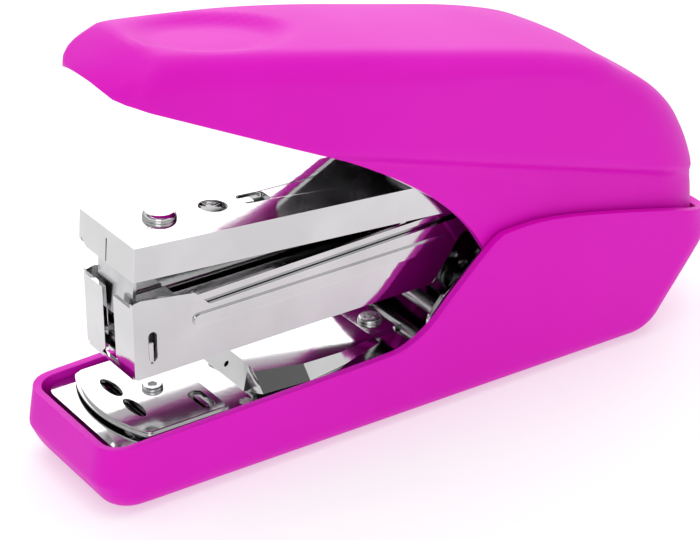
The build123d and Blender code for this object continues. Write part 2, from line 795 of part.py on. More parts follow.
def make_driver_blade():
    """Thin blade that drives one staple through the exit slot."""
    blade = bar(blade_front, blade_front + blade_thickness, blade_half_width, blade_tip, cap_under)
    ears = bar(blade_front, inner_frame_front, 2.4, cap_under - 4.2, cap_under - 1.0)
    return pitched(blade + ears)


def make_driver_rivet():
    """Domed rivet that joins the cap and its inner frame."""
    x = driver_rivet_station
    head = upright(x, 0, driver_rivet_radius, cap_top, cap_top + 1.3)
    head = fillet(head.faces().sort_by(Axis.Z)[-1].edges(), 1.0)
    under = cap_under - inner_frame_sheet
    shank = upright(x, 0, driver_rivet_shank, under, cap_top)
    return pitched(head + shank + upright(x, 0, driver_rivet_shank + 0.9, under - 0.8, under))


def make_leaf_spring():
    """Flat spring under the cap that bears on the magazine as the arm closes."""
    drop = cap_under - leaf_drop
    t = leaf_thickness
    face = side_face([
        (leaf_front, cap_under), (leaf_front, cap_under - t), (leaf_bend, cap_under - t),
        (leaf_rear, drop - t), (leaf_rear, drop), (leaf_bend, cap_under)], 0)
    return pitched(across(face, leaf_half_width))


# ------------------------------------------------------------- handle pieces
def tail_point(angle, inset):
    """A point on the round tail of the handle, at an angle above level."""
    reach = handle_tail_radius - inset
    x = handle_pivot[0] + reach * cos(radians(angle))
    return (x, handle_pivot[1] + reach * sin(radians(angle)))


def crown_points(inset):
    """Crown corners, moved in from the skin."""
    points = [(x + inset * 0.3, z - inset) for x, z in handle_crown]
    return [(handle_crown[0][0] + 2 * inset, points[0][1])] + points[1:]


def tail_slope():
    """Direction of the crown where it meets the round tail."""
    angle = radians(handle_tail_angle)
    return (sin(angle), -cos(angle))


def tail_arc(inset, low):
    """Round tail from the crown down to a height."""
    level = degrees(asin((low - handle_pivot[1]) / (handle_tail_radius - inset)))
    middle = tail_point((level + handle_tail_angle) / 2, inset)
    return ThreePointArc(tail_point(handle_tail_angle, inset), middle, tail_point(level, inset))


def handle_face(inset, low, hollow):
    """Side view of the handle, or of a hollow in it that is open below."""
    crown = crown_points(inset)
    join = tail_point(handle_tail_angle, inset)
    top = Spline(*crown, join, tangents=((1.0, -0.06), tail_slope()))
    tail = tail_arc(inset, low)
    foot = tail @ 1
    tip = (handle_tip[0] + 2.2 * inset, handle_tip[1])
    if hollow:
        edge = Polyline(foot, (60.0, low), (tip[0], 40.0), (tip[0], tip[1] - inset), crown[0])
    else:
        edge = FilletPolyline(foot, (93.0, low), (78.5, 40.5), (57.0, 56.0), tip, crown[0],
                              radius=[6, 9, 30, 1.6])
    return Plane.XZ * make_face([top, tail, edge])


def crown_bar(inset):
    """Arched bar under the crown, which rounds the handle's top and tail."""
    first = crown_points(inset)[0]
    start = (first[0] - 14.0, first[1] + 0.9)
    join = tail_point(handle_tail_angle, inset)
    top = Spline(start, *crown_points(inset), join, tangents=((1.0, -0.06), tail_slope()))
    path = Plane.XZ * Wire([*top.edges(), *tail_arc(inset, handle_bottom - 8).edges()])
    half = handle_half_width - inset + 0.2
    drop = handle_crown_drop
    arch = ThreePointArc((-half, -drop), (0, 0), (half, -drop))
    sides = Polyline((half, -drop), (half, -drop - 9), (-half, -drop - 9), (-half, -drop))
    section = Plane(origin=path @ 0, x_dir=(0, 1, 0), z_dir=path % 0) * make_face([arch, sides])
    return sweep(section, path=path)


def handle_plan(inset):
    """Plan of the handle: a narrow rounded nose and a round tail."""
    nose, tail = handle_tip[0] + inset, overall_length - 3.0 - inset
    half, slim = handle_half_width - inset, handle_nose_half_width - inset
    near = [(nose, -handle_nose_flat), (nose + handle_nose_sweep, -slim), (nose + handle_taper, -half),
            (tail + 0.4, -half)]
    far = [(x, -y) for x, y in reversed(near)]
    round_tail = handle_corner_radius - inset
    radii = [10, 12, 60, round_tail, round_tail, 60, 12, 10]
    return extrude(top_face(near + far, radii, 0), amount=110)


def panel_plan():
    """Plan of the lower panel, with a round tail that clears the base's tail."""
    tail = handle_pivot[0] + handle_tail_radius
    corners = [(-10, -panel_half_width), (tail, -panel_half_width), (tail, panel_half_width),
               (-10, panel_half_width)]
    radii = [0, handle_corner_radius, handle_corner_radius, 0]
    return extrude(top_face(corners, radii, -30), amount=160)


def below_crease(reach, drop):
    """Everything under the crease line, as a thick slab."""
    (x0, z0), (x1, z1) = crease
    points = [(x0 - 48, z0 + 20 - drop), (x0, z0 - drop), (x1, z1 - drop), (x1, -20), (x0 - 48, -20)]
    return across(side_face(points, [0, 10, 0, 0, 0]), reach)


def handle_solid(inset, low):
    """The handle's outside, or with an inset its hollow; the arched bar alone shapes the crown."""
    core = across(handle_face(inset + handle_crown_drop + 1, low - 8, True), 30)
    body = across(handle_face(inset - crown_overcut, low, inset > 0), 30) & handle_plan(inset)
    return body & (crown_bar(inset) + core)


def make_handle_shell():
    """Tall plastic handle, hollow and open below, with a dished thumb rest."""
    outer = handle_solid(0, handle_bottom)
    hollow = handle_solid(handle_wall, handle_bottom - 6)
    skirt = hollow & bar(0, overall_length, panel_half_width - handle_wall, 0, handle_tip[1] + 30)
    upper = hollow - below_crease(30, -handle_wall)
    low_panel = below_crease(30, 0) - panel_plan()
    shell = outer - low_panel - skirt - upper
    dish = Pos(dish_station, 0, dish_height()) * Rot(0, dish_tilt(), 0)
    bowl = scale(Rot(90, 0, 0) * Sphere(1), by=(dish_length / 2, dish_width / 2, 2 * dish_depth))
    shell = shell - dish * bowl
    for post in handle_posts():
        shell = shell + (post & outer)
    for hole in screw_shanks(handle_screw_radius):
        shell = shell - hole
    return shell


def dish_tilt():
    """Slope of the crown at the thumb rest, in degrees."""
    (x0, z0), (x1, z1) = handle_crown[0], handle_crown[1]
    return degrees(atan2(z0 - z1, x1 - x0))


def dish_height():
    """Middle height of the bowl that cuts the thumb rest."""
    (x0, z0), (x1, z1) = handle_crown[0], handle_crown[1]
    share = (dish_station - x0) / (x1 - x0)
    return z0 + (z1 - z0) * share + dish_depth * 1.2


def ridge_plane(station):
    """Plane on the lever's top sheet, facing away from it."""
    (x0, z0), (x1, z1) = lever_ridge
    z = z0 + (z1 - z0) * (station - x0) / (x1 - x0)
    return Plane(origin=(station, 0, z), x_dir=(0, 1, 0), z_dir=(z0 - z1, 0, x1 - x0))


def handle_posts():
    """Posts inside the handle that stand on the lever."""
    return [ridge_plane(x) * (Pos(0, 0, 15) * Cylinder(post_radius, 30)) for x in post_stations]


def screw_shanks(radius):
    """Screw shanks from under the lever's top sheet up into the posts."""
    length = lever_sheet + handle_screw_bite
    lift = (handle_screw_bite - lever_sheet) / 2
    return [ridge_plane(x) * (Pos(0, 0, lift) * Cylinder(radius, length)) for x in post_stations]


def make_handle_screws():
    """Two screws that hold the plastic handle on its lever."""
    screws = []
    for x, shank in zip(post_stations, screw_shanks(handle_screw_radius)):
        middle = -lever_sheet - handle_screw_head_height / 2
        head = ridge_plane(x) * (Pos(0, 0, middle) * Cylinder(handle_screw_head_radius,
                                                              handle_screw_head_height))
        screws.append(head + shank)
    return screws


def make_handle_lever():
    """Folded steel lever inside the handle, from its pivot to the roller."""
    (x0, z0), (x1, z1) = lever_ridge
    hx, hz = handle_pivot
    r = lever_ear_radius
    corners = [(lever_front, lever_front_edge), lever_knee, (hx - 9, hz + 6), (hx - r, hz),
               (hx + r, hz), (x1, z1), (x0, z0)]
    face = side_face(corners, [1.5, 6, 4, 0, 0, 4, 3])
    ear = Plane.XZ * (Pos(hx, hz) * Circle(r))
    body = across(face + ear, lever_half_width)
    slope = (z0 - z1) / (x1 - x0)
    under = lever_sheet / cos(atan2(z0 - z1, x1 - x0))
    front, back = x0 - 20, x1 + 20
    room = side_face([
        (front, z0 + 20 * slope - under), (back, z1 - 20 * slope - under), (back, 0), (front, 0)], 0)
    body = body - across(room, lever_half_width - lever_sheet)
    for hole in screw_shanks(handle_screw_radius + thread_clearance):
        body = body - hole
    body = body - cross_pin(roller_place, roller_pin_radius, 30)
    return body - cross_pin(handle_pivot, pivot_pin_radius + running_clearance, 30)


def make_press_roller():
    """Roller that runs on the cap as the handle comes down."""
    roller = cross_pin(roller_place, roller_radius, roller_half_length)
    return roller - cross_pin(roller_place, roller_pin_radius + running_clearance, 30)


def make_roller_pin():
    """Pin through the lever that carries the roller."""
    return cross_pin(roller_place, roller_pin_radius, lever_half_width + 0.3)


# -------------------------------------------------------------------- build
clincher = make_clincher_left()
pieces = {
    "base_shell": make_base_shell,
    "foot_pads": lambda: Compound(children=make_foot_pads()),
    "base_screws": lambda: Compound(children=make_base_screws()),
    "base_plate": make_base_plate,
    "clinch_table": make_clinch_table,
    "table_under_plate": make_table_under_plate,
    "table_rivet": make_table_rivet,
    "table_spring": make_table_spring,
    "clincher_left": lambda: clincher,
    "clincher_right": lambda: mirror(clincher, about=Plane.XZ),
    "clincher_pins": lambda: Compound(children=make_clincher_pins()),
    "clincher_holder": make_clincher_holder,
    "clinch_cover": make_clinch_cover,
    "cover_screw": make_cover_screw,
    "side_frame": make_side_frame,
    "arm_pivot_pin": make_arm_pivot_pin,
    "handle_pivot_pin": make_handle_pivot_pin,
    "cross_rod": make_cross_rod,
    "return_spring": make_return_spring,
    "magazine_sheath": make_magazine_sheath,
    "magazine_guide": make_magazine_guide,
    "magazine_rail": make_magazine_rail,
    "pusher_rod": make_pusher_rod,
    "pusher_spring": make_pusher_spring,
    "pusher": make_pusher,
    "driver_cap": make_driver_cap,
    "driver_frame": make_driver_frame,
    "driver_blade": make_driver_blade,
    "driver_rivet": make_driver_rivet,
    "leaf_spring": make_leaf_spring,
    "handle_shell": make_handle_shell,
    "handle_screws": lambda: Compound(children=make_handle_screws()),
    "handle_lever": make_handle_lever,
    "press_roller": make_press_roller,
    "roller_pin": make_roller_pin,
}

os.makedirs("parts", exist_ok=True)
footprint = base_outer().bounding_box().center().X
print("origin is", round(footprint, 4), "mm behind the zero station")
for name, make in pieces.items():
    export(name, make(), footprint)
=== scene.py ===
"""An open half-strip desk stapler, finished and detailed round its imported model.

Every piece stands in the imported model's own frame, in metres. The moulded shells
and the slot tab hold their sizes in millimetres and turn them into metres where
they lay a point. The finishes, the springs, the lamps and the camera's place are
in metres. Stations are distances back from the nose of the base, and `Frame.x`
turns a station in metres into the frame's X.
"""

import logging
import math
from collections.abc import Callable
from dataclasses import dataclass, field
from enum import Enum

import bpy
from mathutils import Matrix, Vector


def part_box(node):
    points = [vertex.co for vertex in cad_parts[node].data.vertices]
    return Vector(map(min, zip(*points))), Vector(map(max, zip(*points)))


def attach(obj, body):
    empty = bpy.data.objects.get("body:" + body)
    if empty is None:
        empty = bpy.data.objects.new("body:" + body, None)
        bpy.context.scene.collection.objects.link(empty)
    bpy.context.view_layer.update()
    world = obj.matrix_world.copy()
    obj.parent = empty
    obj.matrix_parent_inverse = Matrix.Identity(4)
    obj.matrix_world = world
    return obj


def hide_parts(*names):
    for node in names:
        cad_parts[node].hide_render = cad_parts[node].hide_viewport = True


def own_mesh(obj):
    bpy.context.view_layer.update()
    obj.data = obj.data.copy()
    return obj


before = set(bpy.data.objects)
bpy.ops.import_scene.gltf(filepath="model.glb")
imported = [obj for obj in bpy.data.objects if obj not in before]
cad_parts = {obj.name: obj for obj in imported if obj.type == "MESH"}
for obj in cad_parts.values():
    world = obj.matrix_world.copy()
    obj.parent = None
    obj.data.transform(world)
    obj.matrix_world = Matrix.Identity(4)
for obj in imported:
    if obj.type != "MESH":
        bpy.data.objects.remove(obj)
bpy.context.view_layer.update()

MM = 0.001
QUARTER_TURN = math.pi / 2
log = logging.getLogger("stapler")


class Slot(Enum):
    """Material slots of the record."""

    SHELL = "pink_shell"
    BRIGHT = "bright_plate"
    ZINC = "zinc_plate"
    SPRING = "spring_steel"
    RUBBER = "black_rubber"


class Body(Enum):
    """Bodies that new pieces are hung on."""

    BASE = "base"
    MAGAZINE = "magazine"
    HANDLE = "handle"


class Socket(Enum):
    """Kinds of node group socket."""

    NUMBER = "NodeSocketFloat"
    COLOUR = "NodeSocketColor"
    VECTOR = "NodeSocketVector"


# ------------------------------------------------------------------ finishes
class GroupBuilder:
    """Builds one shader node group with named inputs and outputs."""

    def __init__(self, name: str, inputs: dict[str, Socket], outputs: dict[str, Socket]) -> None:
        """Starts an empty group.

        Args:
            name: The group's name.
            inputs: Its inputs, by name.
            outputs: Its outputs, by name.
        """
        self.tree = bpy.data.node_groups.new(name, "ShaderNodeTree")
        for label, kind in inputs.items():
            self.tree.interface.new_socket(name=label, in_out="INPUT", socket_type=kind.value)
        for label, kind in outputs.items():
            self.tree.interface.new_socket(name=label, in_out="OUTPUT", socket_type=kind.value)
        self.entry = self.tree.nodes.new("NodeGroupInput")
        self.exit = self.tree.nodes.new("NodeGroupOutput")

    def node(self, kind: str, **settings: object) -> bpy.types.Node:
        """Adds a node and sets its properties.

        Args:
            kind: The node's type.
            settings: Its properties, by name.

        Returns:
            The new node.
        """
        made = self.tree.nodes.new(kind)
        for key, value in settings.items():
            setattr(made, key, value)
        return made

    def link(self, source: bpy.types.NodeSocket, target: bpy.types.NodeSocket) -> None:
        """Joins an output to an input."""
        self.tree.links.new(source, target)


DRIFT_DETAIL, DRIFT_SOFTNESS = 3.0, 0.55
DRIFT_SPREAD = (0.35, 0.65)
WEAR_SAMPLES = 4
WEAR_STARTS, WEAR_FULL = 0.995, 0.90
WEAR_PATCH_SCALE, WEAR_PATCH_DETAIL = 420.0, 4.0
GRAIN_DETAIL, WAVE_DETAIL = 2.0, 1.0


def build_drift_group() -> bpy.types.NodeTree:
    """Makes the group that lets a colour and a gloss drift over a surface.

    Returns:
        A group that puts out a mixed colour and a roughness.
    """
    kit = GroupBuilder(
        "surface drift",
        {"Vector": Socket.VECTOR, "Scale": Socket.NUMBER, "Colour A": Socket.COLOUR,
         "Colour B": Socket.COLOUR, "Rough A": Socket.NUMBER, "Rough B": Socket.NUMBER},
        {"Colour": Socket.COLOUR, "Roughness": Socket.NUMBER})
    noise = kit.node("ShaderNodeTexNoise")
    noise.inputs["Detail"].default_value = DRIFT_DETAIL
    noise.inputs["Roughness"].default_value = DRIFT_SOFTNESS
    kit.link(kit.entry.outputs["Vector"], noise.inputs["Vector"])
    kit.link(kit.entry.outputs["Scale"], noise.inputs["Scale"])
    spread = kit.node("ShaderNodeMapRange")
    spread.inputs["From Min"].default_value, spread.inputs["From Max"].default_value = DRIFT_SPREAD
    kit.link(noise.outputs["Fac"], spread.inputs["Value"])
    colour = kit.node("ShaderNodeMix", data_type="RGBA")
    kit.link(spread.outputs["Result"], colour.inputs["Factor"])
    kit.link(kit.entry.outputs["Colour A"], colour.inputs["A"])
    kit.link(kit.entry.outputs["Colour B"], colour.inputs["B"])
    rough = kit.node("ShaderNodeMapRange")
    kit.link(spread.outputs["Result"], rough.inputs["Value"])
    kit.link(kit.entry.outputs["Rough A"], rough.inputs["To Min"])
    kit.link(kit.entry.outputs["Rough B"], rough.inputs["To Max"])
    kit.link(colour.outputs["Result"], kit.exit.inputs["Colour"])
    kit.link(rough.outputs["Result"], kit.exit.inputs["Roughness"])
    return kit.tree


def build_wear_group() -> bpy.types.NodeTree:
    """Makes the group that finds a piece's edges, where handling rubs them.

    Returns:
        A group that puts out a mask, one on an edge and nought away from it.
    """
    kit = GroupBuilder(
        "edge wear",
        {"Vector": Socket.VECTOR, "Width": Socket.NUMBER, "Amount": Socket.NUMBER},
        {"Mask": Socket.NUMBER})
    rounded = kit.node("ShaderNodeBevel", samples=WEAR_SAMPLES)
    kit.link(kit.entry.outputs["Width"], rounded.inputs["Radius"])
    plain = kit.node("ShaderNodeNewGeometry")
    turn = kit.node("ShaderNodeVectorMath", operation="DOT_PRODUCT")
    kit.link(rounded.outputs["Normal"], turn.inputs[0])
    kit.link(plain.outputs["Normal"], turn.inputs[1])
    edge = kit.node("ShaderNodeMapRange")
    edge.inputs["From Min"].default_value = WEAR_STARTS
    edge.inputs["From Max"].default_value = WEAR_FULL
    kit.link(turn.outputs["Value"], edge.inputs["Value"])
    broken = kit.node("ShaderNodeTexNoise")
    broken.inputs["Scale"].default_value = WEAR_PATCH_SCALE
    broken.inputs["Detail"].default_value = WEAR_PATCH_DETAIL
    kit.link(kit.entry.outputs["Vector"], broken.inputs["Vector"])
    patchy = kit.node("ShaderNodeMath", operation="MULTIPLY")
    kit.link(edge.outputs["Result"], patchy.inputs[0])
    kit.link(broken.outputs["Fac"], patchy.inputs[1])
    scaled = kit.node("ShaderNodeMath", operation="MULTIPLY", use_clamp=True)
    kit.link(patchy.outputs["Value"], scaled.inputs[0])
    kit.link(kit.entry.outputs["Amount"], scaled.inputs[1])
    kit.link(scaled.outputs["Value"], kit.exit.inputs["Mask"])
    return kit.tree


def build_grain_group() -> bpy.types.NodeTree:
    """Makes the group for the fine unevenness of a moulded or rolled surface.

    Returns:
        A group that puts out a height.
    """
    kit = GroupBuilder(
        "fine grain",
        {"Vector": Socket.VECTOR, "Scale": Socket.NUMBER, "Wave Scale": Socket.NUMBER,
         "Wave Share": Socket.NUMBER},
        {"Height": Socket.NUMBER})
    fine = kit.node("ShaderNodeTexNoise")
    fine.inputs["Detail"].default_value = GRAIN_DETAIL
    wave = kit.node("ShaderNodeTexNoise")
    wave.inputs["Detail"].default_value = WAVE_DETAIL
    for texture, label in ((fine, "Scale"), (wave, "Wave Scale")):
        kit.link(kit.entry.outputs["Vector"], texture.inputs["Vector"])
        kit.link(kit.entry.outputs[label], texture.inputs["Scale"])
    both = kit.node("ShaderNodeMix", data_type="FLOAT")
    kit.link(kit.entry.outputs["Wave Share"], both.inputs["Factor"])
    kit.link(fine.outputs["Fac"], both.inputs["A"])
    kit.link(wave.outputs["Fac"], both.inputs["B"])
    kit.link(both.outputs["Result"], kit.exit.inputs["Height"])
    return kit.tree


@dataclass(frozen=True)
class Groups:
    """The shared effects, built once."""

    drift: bpy.types.NodeTree
    wear: bpy.types.NodeTree
    grain: bpy.types.NodeTree


@dataclass(frozen=True)
class Finish:
    """A surface finish with drifting colour, drifting gloss, grain and worn edges.

    Widths and depths are in metres, and scales are patches to the metre.
    """

    label: str
    colour: tuple[float, float, float]
    shade: tuple[float, float, float]
    worn: tuple[float, float, float]
    gloss: tuple[float, float]
    stretch: tuple[float, float, float] = (1.0, 1.0, 1.0)
    drift_scale: float = 40.0
    grain_scale: float = 1500.0
    wave_scale: float = 60.0
    wave_share: float = 0.5
    grain_depth: float = 0.00001
    wear_width: float = 0.0002
    wear_amount: float = 0.6
    metallic: float = 0.0
    specular: float = 0.5
    glow: float = 0.0

    def build(self, groups: Groups) -> bpy.types.Material:
        """Makes the material.

        Args:
            groups: The shared effects.

        Returns:
            The new material.
        """
        made = bpy.data.materials.new(self.label)
        made.use_nodes = True
        tree = made.node_tree
        shader = tree.nodes["Principled BSDF"]
        place = tree.nodes.new("ShaderNodeTexCoord")
        turned = tree.nodes.new("ShaderNodeMapping")
        turned.inputs["Scale"].default_value = self.stretch
        tree.links.new(place.outputs["Object"], turned.inputs["Vector"])
        vector = turned.outputs["Vector"]
        drift = self._effect(tree, groups.drift, vector, {
            "Scale": self.drift_scale, "Colour A": (*self.colour, 1.0),
            "Colour B": (*self.shade, 1.0), "Rough A": self.gloss[0],
            "Rough B": self.gloss[1]})
        wear = self._effect(tree, groups.wear, place.outputs["Object"], {
            "Width": self.wear_width, "Amount": self.wear_amount})
        grain = self._effect(tree, groups.grain, vector, {
            "Scale": self.grain_scale, "Wave Scale": self.wave_scale,
            "Wave Share": self.wave_share})
        mixed = tree.nodes.new("ShaderNodeMix")
        mixed.data_type = "RGBA"
        tree.links.new(wear.outputs["Mask"], mixed.inputs["Factor"])
        tree.links.new(drift.outputs["Colour"], mixed.inputs["A"])
        mixed.inputs["B"].default_value = (*self.worn, 1.0)
        bump = tree.nodes.new("ShaderNodeBump")
        bump.inputs["Distance"].default_value = self.grain_depth
        tree.links.new(grain.outputs["Height"], bump.inputs["Height"])
        tree.links.new(mixed.outputs["Result"], shader.inputs["Base Color"])
        tree.links.new(drift.outputs["Roughness"], shader.inputs["Roughness"])
        shader.inputs["Emission Color"].default_value = (1.0, 1.0, 1.0, 1.0)
        shader.inputs["Emission Strength"].default_value = self.glow
        tree.links.new(bump.outputs["Normal"], shader.inputs["Normal"])
        shader.inputs["Metallic"].default_value = self.metallic
        shader.inputs["Specular IOR Level"].default_value = self.specular
        made.diffuse_color = (*self.colour, 1.0)
        return made

    def _effect(self, tree: bpy.types.NodeTree, group: bpy.types.NodeTree,
                vector: bpy.types.NodeSocket, values: dict[str, object]) -> bpy.types.Node:
        """Places a shared effect in this material with its own values.

        Args:
            tree: The material's nodes.
            group: The shared effect.
            vector: Where the effect reads its place from.
            values: The effect's settings, by input name.

        Returns:
            The placed node.
        """
        node = tree.nodes.new("ShaderNodeGroup")
        node.node_tree = group
        tree.links.new(vector, node.inputs["Vector"])
        for label, value in values.items():
            node.inputs[label].default_value = value
        return node


MAGENTA_PLASTIC = Finish(
    "magenta plastic", colour=(0.72, 0.002, 0.53), shade=(0.68, 0.001, 0.49),
    worn=(0.80, 0.02, 0.63), gloss=(0.44, 0.52), drift_scale=14.0, grain_scale=2600.0,
    wave_share=0.3, grain_depth=0.000008, wear_width=0.0005, wear_amount=0.3, specular=0.18)
CHROME_PLATE = Finish(
    "chrome plate", colour=(0.64, 0.64, 0.645), shade=(0.57, 0.57, 0.575), worn=(0.92, 0.92, 0.92),
    gloss=(0.05, 0.13), drift_scale=55.0, grain_scale=900.0, wave_scale=70.0, wave_share=0.8,
    grain_depth=0.00003, wear_amount=0.8, metallic=1.0)
ZINC_PLATE = Finish(
    "zinc plate", colour=(0.62, 0.62, 0.62), shade=(0.52, 0.52, 0.53), worn=(0.9, 0.9, 0.9),
    gloss=(0.18, 0.30), drift_scale=90.0, grain_scale=1800.0, wave_share=0.4,
    grain_depth=0.00001, wear_amount=0.8, metallic=1.0)
SPRING_STEEL = Finish(
    "spring steel", colour=(0.56, 0.56, 0.57), shade=(0.48, 0.48, 0.49), worn=(0.80, 0.80, 0.80),
    gloss=(0.16, 0.24), stretch=(1.0, 3.0, 3.0), drift_scale=50.0, grain_depth=0.000005,
    wear_amount=0.4, metallic=1.0)
BLACK_RUBBER = Finish(
    "black rubber", colour=(0.018, 0.018, 0.018), shade=(0.03, 0.03, 0.031),
    worn=(0.09, 0.09, 0.09), gloss=(0.62, 0.80), drift_scale=220.0, grain_scale=3200.0,
    wave_share=0.1, grain_depth=0.00004, wear_amount=0.8)
PALE_FLOOR = Finish(
    "pale floor", colour=(0.64, 0.64, 0.64), shade=(0.62, 0.62, 0.62), worn=(0.64, 0.64, 0.64),
    gloss=(0.85, 0.95), drift_scale=3.0, grain_scale=500.0, grain_depth=0.00002,
    wear_amount=0.0, specular=0.1, glow=0.42)


@dataclass
class Wardrobe:
    """Builds each finish once and dresses pieces with them."""

    groups: Groups = field(default_factory=lambda: Groups(
        build_drift_group(), build_wear_group(), build_grain_group()))
    made: dict[str, bpy.types.Material] = field(default_factory=dict)

    def material(self, finish: Finish) -> bpy.types.Material:
        """Gives a finish's material, and builds it the first time.

        Args:
            finish: The finish.

        Returns:
            Its material.
        """
        if finish.label not in self.made:
            self.made[finish.label] = finish.build(self.groups)
        return self.made[finish.label]

    def dress(self, piece: bpy.types.Object, finish: Finish) -> None:
        """Gives a piece one finish all over."""
        piece.data.materials.clear()
        piece.data.materials.append(self.material(finish))


ROUNDING_OF_FINISH = {CHROME_PLATE.label: 0.32 * MM, ZINC_PLATE.label: 0.15 * MM}
LEFT_SHARP = "clinch_cover"
FINISH_OF_SLOT = {
    Slot.SHELL.value: MAGENTA_PLASTIC,
    Slot.BRIGHT.value: CHROME_PLATE,
    Slot.ZINC.value: ZINC_PLATE,
    Slot.SPRING.value: SPRING_STEEL,
    Slot.RUBBER.value: BLACK_RUBBER,
}


# ------------------------------------------------------------------ the set
@dataclass(frozen=True)
class Softbox:
    """A square lamp: its place and size in metres and its power in watts."""

    name: str
    at: tuple[float, float, float]
    size: float
    power: float


@dataclass
class Studio:
    """The floor, the lights and the camera.

    Each of the sky's bands is a height, nought at the horizon and one overhead,
    with its brightness. The lens and the sensor are in millimetres.
    """

    camera_at: tuple[float, float, float] = (-0.239486, -0.335867, 0.241286)
    looking: tuple[float, float, float] = (0.5006, 0.7283, -0.4679)
    lens: float = 123.43
    sensor: float = 36.0
    nearest: float = 0.01
    floor_half: float = 3.0
    lit_point: tuple[float, float, float] = (0.0, 0.0, 0.03)
    softboxes: tuple[Softbox, ...] = (
        Softbox("far softbox", (0.55, 0.80, 0.62), 1.1, 5.5),
        Softbox("top softbox", (-0.05, 0.10, 1.15), 0.9, 3.5),
        Softbox("near softbox", (-0.75, -0.95, 0.75), 0.8, 3.0))
    bands: tuple[tuple[float, float], ...] = (
        (0.0, 0.12), (0.08, 0.14), (0.18, 0.95), (0.60, 0.95), (0.68, 0.16), (0.80, 0.16),
        (0.88, 1.0), (1.0, 1.0))

    def build(self, wardrobe: Wardrobe) -> None:
        """Builds the whole set.

        Args:
            wardrobe: The finishes.
        """
        self.add_floor(wardrobe)
        self.add_camera()
        self.add_world()
        for softbox in self.softboxes:
            self.add_softbox(softbox)
        bpy.context.scene.view_settings.view_transform = "Standard"

    def add_floor(self, wardrobe: Wardrobe) -> None:
        """Lays the plain pale floor.

        Args:
            wardrobe: The finishes.
        """
        deselect_all()
        bpy.ops.mesh.primitive_plane_add(size=2 * self.floor_half)
        floor = bpy.context.object
        floor.name = "floor"
        wardrobe.dress(floor, PALE_FLOOR)

    def add_camera(self) -> None:
        """Sets the camera."""
        bpy.ops.object.camera_add(location=self.camera_at)
        camera = bpy.context.object
        camera.rotation_euler = Vector(self.looking).to_track_quat("-Z", "Y").to_euler()
        camera.data.lens = self.lens
        camera.data.sensor_width = self.sensor
        camera.data.clip_start = self.nearest
        bpy.context.scene.camera = camera

    def add_world(self) -> None:
        """Fills the room with soft light, with dim gaps at the horizon and high up."""
        world = bpy.data.worlds.new("studio")
        bpy.context.scene.world = world
        world.use_nodes = True
        tree = world.node_tree
        background = tree.nodes["Background"]
        place = tree.nodes.new("ShaderNodeTexCoord")
        parts = tree.nodes.new("ShaderNodeSeparateXYZ")
        ramp = tree.nodes.new("ShaderNodeValToRGB")
        tree.links.new(place.outputs["Generated"], parts.inputs["Vector"])
        tree.links.new(parts.outputs["Z"], ramp.inputs["Fac"])
        tree.links.new(ramp.outputs["Color"], background.inputs["Color"])
        ends = ramp.color_ramp.elements
        ends[0].position, ends[1].position = self.bands[0][0], self.bands[-1][0]
        for position, _ in self.bands[1:-1]:
            ends.new(position)
        for stop, (_, level) in zip(ramp.color_ramp.elements, self.bands):
            stop.color = (level, level, level, 1.0)
        background.inputs["Strength"].default_value = 1.0

    def add_softbox(self, softbox: Softbox) -> None:
        """Hangs one softbox that faces the stapler.

        Args:
            softbox: Its name, place, size and power.
        """
        bpy.ops.object.light_add(type="AREA", location=softbox.at)
        lamp = bpy.context.object
        lamp.name = softbox.name
        lamp.data.size = softbox.size
        lamp.data.energy = softbox.power
        facing = Vector(self.lit_point) - Vector(softbox.at)
        lamp.rotation_euler = facing.to_track_quat("-Z", "Y").to_euler()


# ----------------------------------------------------------------- workbench
def deselect_all() -> None:
    """Clears the selection, so that an operator acts only on what is added next."""
    for thing in bpy.context.selected_objects:
        thing.select_set(False)


@dataclass(frozen=True)
class Frame:
    """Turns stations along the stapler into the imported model's X."""

    nose: float = field(default_factory=lambda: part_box("base_shell")[0].x)

    def x(self, station: float) -> float:
        """X of a station, given in metres back from the nose."""
        return self.nose + station


def pick(piece: bpy.types.Object) -> None:
    """Selects one piece alone and makes it the active one.

    Args:
        piece: The piece.
    """
    deselect_all()
    piece.select_set(True)
    bpy.context.view_layer.objects.active = piece


def edit_mode(piece: bpy.types.Object) -> None:
    """Opens one piece for editing with everything in it selected.

    Args:
        piece: The piece.
    """
    pick(piece)
    bpy.ops.object.mode_set(mode="EDIT")
    bpy.ops.mesh.select_all(action="SELECT")


def object_mode() -> None:
    """Leaves edit mode."""
    bpy.ops.object.mode_set(mode="OBJECT")


def settle(piece: bpy.types.Object) -> None:
    """Puts a piece's place into its mesh, so that its object sits at the origin."""
    pick(piece)
    bpy.ops.object.transform_apply(location=True, rotation=True, scale=True)


def apply_modifiers(piece: bpy.types.Object) -> None:
    """Applies every modifier on a piece.

    Args:
        piece: The piece.
    """
    pick(piece)
    for modifier in list(piece.modifiers):
        bpy.ops.object.modifier_apply(modifier=modifier.name)


def smooth(piece: bpy.types.Object, angle: float) -> None:
    """Shades a piece smooth, with its edges sharp above an angle in degrees."""
    pick(piece)
    bpy.ops.object.shade_smooth_by_angle(angle=math.radians(angle))


def round_edges(piece: bpy.types.Object, label: str, width: float, segments: int,
                angle: float) -> bpy.types.Modifier:
    """Adds a rounding of every edge above an angle.

    Args:
        piece: The piece.
        label: The modifier's name.
        width: Width of the rounding, in metres.
        segments: Faces across the rounding.
        angle: The angle, in degrees.

    Returns:
        The modifier.
    """
    rounded = piece.modifiers.new(label, "BEVEL")
    rounded.width = width
    rounded.segments = segments
    rounded.limit_method = "ANGLE"
    rounded.angle_limit = math.radians(angle)
    return rounded


def mix(a: float, b: float, share: float) -> float:
    """The value a share of the way from a to b."""
    return a + (b - a) * share


